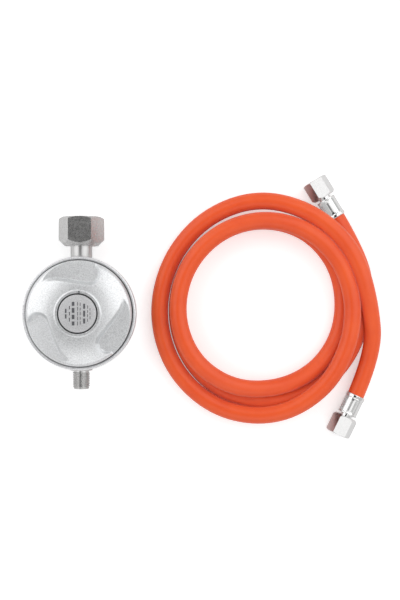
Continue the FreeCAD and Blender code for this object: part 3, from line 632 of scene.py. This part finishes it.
class GASSET_OT_stage(bpy.types.Operator):
    """Add the pale floor, the lamps and the even light all round"""

    bl_idname = "gas_set.stage"
    bl_label = "Stage"

    def execute(self, context):
        sizes = settings("stage")
        floor, g = finish("white_floor")
        grain = g.noise(3.0, 2.0, 0.5)
        matt = g.node("ShaderNodeBsdfDiffuse", {}, {0: g.mix(grain, (0.86, 0.86, 0.86), (0.88, 0.88, 0.88))})
        seen = g.node("ShaderNodeLightPath")
        lift = g.node("ShaderNodeEmission", {}, {
            0: (1.0, 1.0, 1.0, 1.0), 1: Value(g, seen.outputs[0]) * 0.42})
        both = g.node("ShaderNodeAddShader", {}, {0: matt.outputs[0], 1: lift.outputs[0]})
        g.node("ShaderNodeOutputMaterial", {}, {"Surface": both.outputs[0]})
        reach = FLOOR_REACH
        plain_sheet("floor", [(-reach, -reach, 0), (reach, -reach, 0), (reach, reach, 0), (-reach, reach, 0)],
                    floor)

        card, g = finish("dark_card")
        tone = g.noise(2.0, 2.0, 0.5)
        matt = g.node("ShaderNodeBsdfDiffuse", {}, {0: g.mix(tone, (0.03, 0.03, 0.03), (0.04, 0.04, 0.04))})
        g.node("ShaderNodeOutputMaterial", {}, {"Surface": matt.outputs[0]})
        left, right, low, high, level = -0.50, 0.13, -0.32, 0.42, 1.25
        plain_sheet("overhead_card", [(left, low, level), (left, high, level), (right, high, level),
                                      (right, low, level)], card)

        area_lamp("left_box", (-0.80, 0.45, 0.75), (0.05, 0.0, 0.02), (1.4, 1.3), sizes.side_power)
        area_lamp("right_box", (0.80, 0.45, 0.75), (0.05, 0.0, 0.02), (1.4, 1.3), sizes.side_power)
        area_lamp("low_box", (0.10, -0.95, 0.80), (0.10, 0.0, 0.0), (1.2, 0.8), sizes.low_power)
        area_lamp("overhead_box", (0.36, 0.0, 1.25), (0.36, 0.0, 0.0), (0.30, 0.80), sizes.overhead_power)

        world = bpy.data.worlds.new("studio")
        world.use_nodes = True
        world.node_tree.nodes.clear()
        g = Graph(world.node_tree)
        rays = g.node("ShaderNodeLightPath")
        even = g.node("ShaderNodeBackground", {}, {0: (1.0, 1.0, 1.0, 1.0), 1: sizes.world_level})
        white = g.node("ShaderNodeBackground", {}, {0: (1.0, 1.0, 1.0, 1.0), 1: 1.0})
        seen = Value(g, rays.outputs[0])
        mixed = g.node("ShaderNodeMixShader", {}, {0: seen, 1: even.outputs[0], 2: white.outputs[0]})
        g.node("ShaderNodeOutputWorld", {}, {0: mixed.outputs[0]})
        context.scene.world = world
        return {"FINISHED"}


def station_at(angle, part):
    """Radius (part 1) or height (part 2) of the coil at an angle, eased between its stations."""
    stations = COIL_STATIONS
    last = len(stations) - 1
    first = max(k for k in range(last) if stations[k][0] <= angle)

    def slope(k):
        low, high = stations[max(k - 1, 0)], stations[min(k + 1, last)]
        return (high[part] - low[part]) / (high[0] - low[0])

    low, high = stations[first], stations[first + 1]
    span = high[0] - low[0]
    t = (angle - low[0]) / span
    return ((2 * t ** 3 - 3 * t ** 2 + 1) * low[part] + (t ** 3 - 2 * t ** 2 + t) * slope(first) * span
            + (3 * t ** 2 - 2 * t ** 3) * high[part] + (t ** 3 - t ** 2) * slope(first + 1) * span)


def hose_route():
    """Control points of the hose in mm: out of one ferrule, round the coil and into the other."""
    points = [END_MOUTH["b"] + END_WAY["b"] * HOSE_STOP,
              END_MOUTH["b"] - END_WAY["b"] * (TAIL_BEND["b"] - HOSE_STOP)]
    for angle in range(COIL_STATIONS[0][0], COIL_STATIONS[-1][0] + 1, COIL_STEP):
        turn = math.radians(angle)
        radius = station_at(angle, 1)
        points.append(Vector((radius * math.cos(turn), radius * math.sin(turn), station_at(angle, 2))))
    points += [Vector(point) for point in TAIL_A_POINTS]
    points.append(END_MOUTH["a"] + END_WAY["a"] * HOSE_STOP)
    return [COIL_CENTRE + point for point in points]


class GASSET_OT_hose(bpy.types.Operator):
    """Lay the orange hose in its loose coil"""

    bl_idname = "gas_set.hose"
    bl_label = "Hose"

    def execute(self, context):
        sizes = settings("hose")
        curve = bpy.data.curves.new("hose", "CURVE")
        curve.dimensions = "3D"
        curve.bevel_depth = sizes.hose_diameter / 2
        curve.bevel_resolution = 8
        curve.use_fill_caps = True
        route = hose_route()
        line = curve.splines.new("NURBS")
        line.points.add(len(route) - 1)
        for point, place in zip(line.points, route):
            point.co = (*(place * MM), 1.0)
        line.order_u = 3
        line.use_endpoint_u = True
        line.resolution_u = 10
        line.use_smooth = True
        curve.materials.append(orange_rubber("orange_rubber", tuple(sizes.hose_colour)))
        obj = bpy.data.objects.new("hose", curve)
        context.scene.collection.objects.link(obj)
        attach(obj, BODY)
        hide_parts("hose_coil", "hose_tail_a", "hose_tail_b")
        # The photo joins two pictures, so the regulator's metal doesn't show the hose
        obj.visible_glossy = False
        return {"FINISHED"}


class GASSET_OT_fittings(bpy.types.Operator):
    """Add the crimped ferrules, the inserts and the union nuts of both hose ends"""

    bl_idname = "gas_set.fittings"
    bl_label = "Hose fittings"

    def execute(self, context):
        sizes = settings("hose")
        bright = plated("bright_nickel", tuple(sizes.fitting_colour), 0.10, 3000.0, 2, 0.12)
        for end in ("a", "b"):
            place = at_end(end)
            piece("crimped_ferrule_" + end, ferrule_mesh(sizes.crimp_panels, place), bright, BODY,
                  ["ferrule_" + end])
            piece("hose_insert_" + end, insert_mesh(place), bright, BODY, ["insert_" + end])
            piece("union_nut_" + end, hose_nut_mesh(bright, place), bright, "hose_nut_" + end,
                  ["hose_nut_" + end])
        return {"FINISHED"}


def ferrule_mesh(panels, place):
    """Ferrule up +Z: a round ring at each end and pressed flats with rounded corners between."""
    length, ring, flat = FERRULE_LENGTH, 7.45, 7.0
    mouth, tip, inner, neck = 2.7, 1.2, 6.52, NECK_RADIUS + SLIP
    segments = 24 * panels
    stations = [(ring - 0.75, 0.0, 0), (ring - 0.25, 0.12, 0), (ring, 0.5, 0), (ring, mouth - 0.45, 0),
                (ring - 0.06, mouth - 0.2, 0.1), (ring, mouth + 0.15, 0.75), (ring, mouth + 0.5, 1.0)]
    bands = 6
    for k in range(1, bands):
        stations.append((ring, mouth + 0.5 + (length - mouth - tip - 1.0) * k / bands, 1.0))
    stations += [(ring, length - tip - 0.5, 1.0), (ring, length - tip - 0.15, 0.75),
                 (ring - 0.04, length - tip + 0.12, 0.1), (ring, length - tip + 0.3, 0),
                 (ring, length - 0.4, 0), (ring - 0.12, length - 0.12, 0), (ring - 0.5, length, 0),
                 (neck, length, 0), (neck, length - FERRULE_WALL, 0),
                 (inner, length - FERRULE_WALL, 0), (inner, 0.0, 0)]
    points, faces = [], []
    half = math.pi / panels
    count = len(stations)
    for s in range(segments):
        angle = 2 * math.pi * s / segments
        off = (angle + half) % (2 * half) - half
        pressed = min(ring - 0.02, flat / math.cos(off))
        soft = ring - 0.55 + 0.35 * (abs(off) / half) ** 3
        pressed = min(pressed, soft + 0.12)
        for radius, height, amount in stations:
            size = radius + (min(pressed, radius) - radius) * amount
            points.append((size * MM * math.cos(angle), size * MM * math.sin(angle), height * MM))
    for s in range(segments):
        after = (s + 1) % segments
        for k in range(count):
            nxt = (k + 1) % count
            faces.append((s * count + k, after * count + k, after * count + nxt, s * count + nxt))
    return mesh_of(points, faces, place, 30.0)


def insert_mesh(place):
    """Barbed insert up +Z with its neck, head and conical seat."""
    head = FERRULE_LENGTH + NECK_LENGTH + NUT_WALL + 0.3
    tail = 6.3 / 2 - SLIP
    bore, start, barbs, barb_depth = 2.0, 1.5, 4, 0.45
    corners = [(bore, start, 0.15)]
    pitch = (HOSE_STOP - 3.5) / barbs
    for barb in range(barbs):
        base = start + pitch * barb
        corners += [(tail - barb_depth, base), (tail, base + pitch * 0.8, 0.06),
                    (tail - barb_depth, base + pitch * 0.8)]
    corners += [(tail - barb_depth, HOSE_STOP), (NECK_RADIUS, HOSE_STOP), (NECK_RADIUS, head),
                (5.6, head, 0.2), (5.6, head + 2.3, 0.2), (3.4, head + 3.9, 0.25), (bore, head + 3.9, 0.1)]
    return turned_mesh(rounded(corners), place, 72)


def hex_nut_mesh(flats, length, wall, hole, relief, minor, thread_length, pitch, back_skirt, material,
                 twist=0.0):
    """Union nut up +Z: chamfered hexagon, back wall, relief and a real left-hand thread in its mouth."""
    corner = flats / 2 / math.cos(math.pi / 6)
    skirt = flats / 2 * 0.97
    fall = (corner - skirt) * math.tan(math.radians(30))
    over = 0.05
    shell = turned_mesh([(0, 0), (back_skirt, 0), (corner + over, corner - back_skirt + over),
                         (corner + over, length - fall), (skirt, length), (0, length)], None, 180)
    major = minor + 0.55 * pitch
    start = length - thread_length
    bore = turned_mesh([(0, -1), (hole, -1), (hole, wall), (relief, wall), (relief, start), (major, start),
                        (major, length - 0.3), (major + 0.4, length + 0.1), (0, length + 1)], None, 120)
    body = carved(prism(flats, 0, length, 6, twist), [("INTERSECT", shell), ("DIFFERENCE", bore)], 0.28)
    tidy_mesh(body, 30.0)
    ridge = thread(material, major, pitch, thread_length - 0.4, major - minor, inward=True)
    ridge.transform(Matrix.Translation((0, 0, start * MM)))
    return joined(body, ridge)


def hose_nut_mesh(material, place):
    nut = hex_nut_mesh(flats=17.0, length=15.2, wall=NUT_WALL, hole=4.6, relief=6.1, minor=5.72,
                       thread_length=8.0, pitch=settings("regulator").outlet_pitch / MM, back_skirt=8.1,
                       material=material)
    nut.transform(place @ Matrix.Translation((0, 0, (FERRULE_LENGTH + NECK_LENGTH) * MM)))
    return nut


def smooth_step(value):
    t = np.clip(value, 0.0, 1.0)
    return t * t * (3 - 2 * t)


def swirl_outline():
    """Points along the recess's edge in mm, eased through its corners."""
    corners = [Vector((math.cos(math.radians(a)), math.sin(math.radians(a)))) * share * COVER_RADIUS
               for a, share in SWIRL_EDGE]
    ends = [corners[0] * 2 - corners[1]] + corners + [corners[-1] * 2 - corners[-2]]
    path = []
    steps = 14
    for before, here, after, beyond in zip(ends, ends[1:], ends[2:], ends[3:]):
        for step in range(steps):
            t = step / steps
            path.append(0.5 * (2 * here + (after - before) * t
                               + (2 * before - 5 * here + 4 * after - beyond) * t * t
                               + (3 * here - before - 3 * after + beyond) * t ** 3))
    path.append(corners[-1])
    out = Vector(path[0]).normalized()
    path.insert(0, path[0] + out * 8.0)
    path.append(path[-1] + path[-1].normalized() * 8.0)
    return np.array([tuple(p) for p in path])


def depth_in_outline(x, y, outline):
    """Signed distance in mm from the recess's edge, positive inside the recess."""
    start, end = outline[:-1], outline[1:]
    best = np.full(x.shape, 1e9)
    inside = np.zeros(x.shape, bool)
    for (ax, ay), (bx, by) in zip(start, end):
        dx, dy = bx - ax, by - ay
        t = np.clip(((x - ax) * dx + (y - ay) * dy) / (dx * dx + dy * dy + 1e-12), 0, 1)
        best = np.minimum(best, np.hypot(x - ax - t * dx, y - ay - t * dy))
        with np.errstate(divide="ignore", invalid="ignore"):
            crosses = ((ay > y) != (by > y)) & (x < (bx - ax) * (y - ay) / (by - ay + 1e-12) + ax)
        inside ^= crosses
    ax, ay = outline[-1]
    bx, by = outline[0]
    beyond_rim = [(size * math.cos(math.radians(turn)), size * math.sin(math.radians(turn)))
                  for size, turn in ((60, SWIRL_EDGE[-1][0]), (90, 106), (60, SWIRL_EDGE[0][0]))]
    far = [(ax, ay), *beyond_rim, (bx, by)]
    for (ax, ay), (bx, by) in zip(far, far[1:]):
        crosses = ((ay > y) != (by > y)) & (x < (bx - ax) * (y - ay) / (by - ay + 1e-12) + ax)
        inside ^= crosses
    return np.where(inside, best, -best)


def cover_mesh(recess_wall):
    """Domed cover: a polar net lowered into three comet recesses, over a hollow with a bonnet tube."""
    segments = 540
    top_z = 46.9
    bore, tube, tube_foot, groove = 13.0, 15.0, 39.0, RING_RADIUS + SLIP
    rings = [(bore, tube_foot, 0), (bore, CAP_SEAT, 0), (groove, CAP_SEAT, 0), (groove, 48.1, 0),
             (15.11, 48.32, 0), (15.32, BEZEL_TOP, 0)]
    rings += [(15.32 + 0.12 * k, BEZEL_TOP, 0) for k in range(1, 10)]
    rings += [(16.4 + 0.5 * math.sin(a), 47.9 + 0.5 * math.cos(a), 0)
              for a in [math.radians(18 * k) for k in range(1, 6)]]
    rings += [(16.92, 47.45, 0), (17.05, 47.12, 0), (17.4, 46.96, 0)]
    dome_start, crown, edge_radius, edge_z, edge_angle = 18.1, 0.55, 4.5, 38.5, 78
    edge_middle = COVER_RADIUS - edge_radius
    shoulder = (edge_middle + edge_radius * math.cos(math.radians(edge_angle)),
                edge_z + edge_radius * math.sin(math.radians(edge_angle)))
    steps = 60
    for k in range(steps + 1):
        t = k / steps
        radius = dome_start + (shoulder[0] - dome_start) * t
        rings.append((radius, top_z + (shoulder[1] - top_z) * t + crown * math.sin(math.pi * t), 1))
    edge_steps = 16
    for k in range(1, edge_steps + 1):
        a = math.radians(edge_angle - edge_angle * k / edge_steps)
        rings.append((edge_middle + edge_radius * math.cos(a), edge_z + edge_radius * math.sin(a), 1))
    foot, inner, roof, roof_top, under_steps = 34.2, 34.1, (32.1, 40.8), (17.9, 44.7), 20
    rings += [(COVER_RADIUS, 37.6, 1), (COVER_RADIUS, 36.6, 0), (COVER_RADIUS, foot + 0.4, 0),
              (COVER_RADIUS - 0.2, foot, 0), (inner, foot, 0), (inner, 36.0, 2), (inner, 38.8, 2), (*roof, 2)]
    rings += [(roof[0] + (roof_top[0] - roof[0]) * k / under_steps,
               roof[1] + (roof_top[1] - roof[1]) * k / under_steps, 2) for k in range(1, under_steps + 1)]
    rings += [(tube, roof_top[1], 0), (tube, tube_foot, 0)]

    angle = 2 * np.pi * np.arange(segments) / segments
    radius = np.array([r for r, _, _ in rings])[:, None] * np.ones(segments)
    height = np.array([z for _, z, _ in rings])[:, None] * np.ones(segments)
    kind = np.array([k for _, _, k in rings])[:, None] * np.ones(segments)
    third = 2 * np.pi / SWIRL_COUNT
    seam = math.radians(44)
    folded = (angle - seam) % third + seam
    x, y = radius * np.cos(folded), radius * np.sin(folded)
    inside = depth_in_outline(x, y, swirl_outline())
    floor_z, fall, way = SWIRL_FLOOR
    way = math.radians(way)
    floor = floor_z - fall * (x * math.cos(way) + y * math.sin(way))
    shell = 2.2
    for face, grow, drop in ((1, 0.0, 0.0), (2, shell, shell)):
        wall = smooth_step((inside + grow) / recess_wall + 0.5)
        lowered = np.minimum(height, height + (floor - drop - height) * wall)
        height = np.where(kind == face, lowered, height)
    vent_turn, vent_radius, vent_depth = math.radians(VENT_ANGLE), 0.78, 2.6
    vent = np.hypot(radius * np.cos(angle) - VENT_PLACE * math.cos(vent_turn),
                    radius * np.sin(angle) - VENT_PLACE * math.sin(vent_turn))
    pit = smooth_step((vent_radius - vent) / 0.16) * (height > CAP_SEAT + 0.5)
    height = height - vent_depth * pit
    points = np.stack([radius * np.cos(angle), radius * np.sin(angle), height], -1).reshape(-1, 3) * MM
    count = len(rings)
    faces = []
    for k in range(count):
        nxt = (k + 1) % count
        for s in range(segments):
            after = (s + 1) % segments
            faces.append((k * segments + s, nxt * segments + s, nxt * segments + after, k * segments + after))
    mesh = bpy.data.meshes.new("work")
    mesh.from_pydata(points.tolist(), [], faces)
    return tidy_mesh(mesh, 42.0, merge=1e-7)


class GASSET_OT_cover(bpy.types.Operator):
    """Add the domed cover with its comet-shaped recesses"""

    bl_idname = "gas_set.cover"
    bl_label = "Cover"

    def execute(self, context):
        sizes = settings("regulator")
        paint = silver_paint("silver_cover_paint", tuple(sizes.cover_colour))
        piece("domed_cover", cover_mesh(sizes.recess_wall / MM), paint, BODY, ["cover"])
        return {"FINISHED"}


class GASSET_OT_cap(bpy.types.Operator):
    """Add the round cap with its plain bars, and the dark ring round it"""

    bl_idname = "gas_set.cap"
    bl_label = "Cap"

    def execute(self, context):
        sizes = settings("regulator")
        plate = silver_paint("satin_cap_plate", tuple(sizes.cap_colour), 1500.0, 0.60, 0.36)
        dark = ink("dark_print", tuple(sizes.print_colour))
        foot, top, plug, rim = CAP_SEAT - 0.6, 48.78, 12.7, 13.93
        outline = rounded([(0, foot), (plug, foot), (plug, CAP_SEAT), (rim, CAP_SEAT), (rim, top, 0.5),
                           (0, top)])
        cap = turned_mesh(outline, None, 120)
        piece("round_cap", cap, plate, BODY, ["label_cap"])
        tree = bar_rows_tree()
        rows = []
        layout = ((-8.4, 2, 4.0, 1.2), (-5.7, 3, 4.4, 0.7), (-3.0, 4, 4.8, 2.0), (0.3, 5, 3.6, 0.5),
                  (2.2, 5, 3.4, 0.5), (5.1, 3, 5.4, 1.5), (7.6, 4, 3.2, 0.5), (9.4, 3, 3.0, 0.5))
        for seed, (row, bars, spacing, width) in enumerate(layout):
            rows.append(grown(tree, {
                "Bars": bars, "Spacing": spacing * MM, "Row": row * MM, "Width": width * MM,
                "Shortest": spacing * 0.55 * MM, "Longest": spacing * 0.82 * MM,
                "Thickness": 0.06 * MM, "Seed": seed, "Material": dark}))
        prints = joined(*rows)
        prints.transform(Matrix.Translation((0, 0, (top - SLIP) * MM)))
        piece("cap_bars", tidy_mesh(prints), dark, BODY)
        # A matt black ring fills the gap between the cap and the bezel
        inner, ring_top = rim + SLIP, 47.95
        ring = turned_mesh(rounded([(inner, CAP_SEAT), (RING_RADIUS, CAP_SEAT), (RING_RADIUS, ring_top, 0.3),
                                    (inner, ring_top, 0.3)]), None, 120)
        piece("dark_cap_ring", ring, dark_rubber("dark_cap_ring_finish"), BODY, ["cap_seal"])
        return {"FINISHED"}


class GASSET_OT_casting(bpy.types.Operator):
    """Dress the body casting"""

    bl_idname = "gas_set.casting"
    bl_label = "Body casting"

    def execute(self, context):
        sizes = settings("regulator")
        paint = silver_paint("satin_casting_paint", tuple(sizes.casting_colour), 1500.0, 0.75, 0.28)
        piece("cast_body", frame_mesh("body_casting"), paint, BODY, ["body_casting"])
        return {"FINISHED"}


class GASSET_OT_inlet(bpy.types.Operator):
    """Add the inlet neck, its gasket and its union nut"""

    bl_idname = "gas_set.inlet"
    bl_label = "Inlet"

    def execute(self, context):
        sizes = settings("regulator")
        neck_plate = plated("turned_neck_plate", tuple(sizes.plate_colour), 0.30, 2600.0, 1, 0.35)
        nut_plate = plated("satin_nut_plate", tuple(sizes.plate_colour), 0.24, 2600.0, 1, 0.20)
        start, shoulder, collar, seat, end = 33.6, 41.0, 54.3, 57.5, 59.5
        bore, root, skirt, rim, nose = 4.2, 7.2, 8.2, 9.7, 5.58
        neck = rounded([(bore, 0), (root, 0), (root, shoulder - start), (skirt, shoulder - start, 0.3),
                        (skirt, collar - start), (rim, collar - start, 0.3), (rim, seat - start, 0.3),
                        (nose, seat - start), (nose, end - start, 0.3), (bore, end - start, 0.2)])
        piece("inlet_neck", turned_mesh(neck, along_y(start)), neck_plate, BODY, ["inlet_spigot"])
        inner, outer, thick = nose + SLIP, 9.3, 2.4
        ring = rounded([(inner, 0), (outer, 0, 0.2), (outer, thick, 0.6), (inner, thick, 0.3)])
        washer = dark_rubber("black_gasket_rubber")
        piece("inlet_washer", turned_mesh(ring, along_y(seat + SLIP)), washer, BODY, ["inlet_gasket"])
        nut = hex_nut_mesh(flats=30.0, length=22.0, wall=3.0, hole=8.3, relief=10.4, minor=9.92,
                           thread_length=12.0, pitch=sizes.inlet_pitch / MM, back_skirt=12.8,
                           material=nut_plate, twist=math.pi / 6)
        nut.transform(along_y(51.0))
        piece("inlet_union_nut", nut, nut_plate, "inlet_nut", ["inlet_nut"])
        return {"FINISHED"}


class GASSET_OT_outlet(bpy.types.Operator):
    """Add the outlet with its real left-hand thread"""

    bl_idname = "gas_set.outlet"
    bl_label = "Outlet"

    def execute(self, context):
        sizes = settings("regulator")
        plate = plated("outlet_plate", tuple(sizes.plate_colour), 0.26, 2600.0, 1, 0.20)
        pitch = sizes.outlet_pitch / MM
        minor = OUTLET_RADIUS - 0.6 * pitch
        root, shoulder, end = 7.7, 10.1, 24.2
        bore, stem, collar, seat, lead = 3.2, 6.2, 8.4, 4.8, 0.5
        outline = rounded([(bore, 0), (stem, 0), (stem, root), (collar, root, 0.25), (collar, shoulder, 0.3),
                           (minor, shoulder), (minor, end - lead, 0.1), (minor - lead, end, 0.1), (seat, end),
                           (bore, end - 2.6)])
        core = turned_mesh(outline, None)
        ridge = thread(plate, minor, pitch, end - shoulder - lead, OUTLET_RADIUS - minor)
        ridge.transform(Matrix.Translation((0, 0, (shoulder + 0.2) * MM)))
        nipple = joined(core, ridge)
        nipple.transform(along_y(-41.0 + root, -1))
        piece("threaded_outlet", nipple, plate, BODY, ["outlet_nipple"])
        return {"FINISHED"}


class GASSET_OT_inner_pieces(bpy.types.Operator):
    """Give the sealed pieces their finishes"""

    bl_idname = "gas_set.inner_pieces"
    bl_label = "Sealed pieces"

    def execute(self, context):
        finishes = {
            "turned_brass": brass("turned_brass_finish"),
            "spring_steel": dull_steel("spring_wire_finish", (0.50, 0.51, 0.53)),
            "pressed_steel": dull_steel("pressed_plate_finish", (0.60, 0.61, 0.62)),
            "black_rubber": dark_rubber("diaphragm_rubber_finish"),
        }
        for kind, nodes in INNER_PIECES.items():
            for node in nodes:
                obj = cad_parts[node]
                obj.data.materials.clear()
                obj.data.materials.append(finishes[kind])
        return {"FINISHED"}


class GASSET_PT_panel(bpy.types.Panel):
    """Lists the settings and the steps of the gas set"""

    bl_idname = "GASSET_PT_panel"
    bl_label = "Gas set"
    bl_space_type = "VIEW_3D"
    bl_region_type = "UI"
    bl_category = "Gas set"

    def draw(self, context):
        for kind in SETTINGS:
            group = settings(kind)
            box = self.layout.box()
            for key in group.bl_rna.properties.keys():
                if key not in ("rna_type", "name"):
                    box.prop(group, key)
        for step in STEPS:
            self.layout.operator(step.bl_idname)


SETTINGS = {"regulator": RegulatorSettings, "hose": HoseSettings, "stage": StageSettings}
STEPS = (GASSET_OT_camera, GASSET_OT_hose, GASSET_OT_fittings, GASSET_OT_cover, GASSET_OT_cap,
         GASSET_OT_casting, GASSET_OT_inlet, GASSET_OT_outlet, GASSET_OT_inner_pieces, GASSET_OT_stage)


def register():
    for group in SETTINGS.values():
        bpy.utils.register_class(group)
    for kind, group in SETTINGS.items():
        setattr(bpy.types.Scene, "gas_set_" + kind, PointerProperty(type=group))
    for step in (*STEPS, GASSET_PT_panel):
        bpy.utils.register_class(step)


def unregister():
    for step in reversed((*STEPS, GASSET_PT_panel)):
        bpy.utils.unregister_class(step)
    for kind, group in SETTINGS.items():
        delattr(bpy.types.Scene, "gas_set_" + kind)
        bpy.utils.unregister_class(group)


def main():
    """Build every piece in order."""
    register()
    for step in STEPS:
        group, name = step.bl_idname.split(".")
        getattr(getattr(bpy.ops, group), name)()


if __name__ == "__main__":
    main()
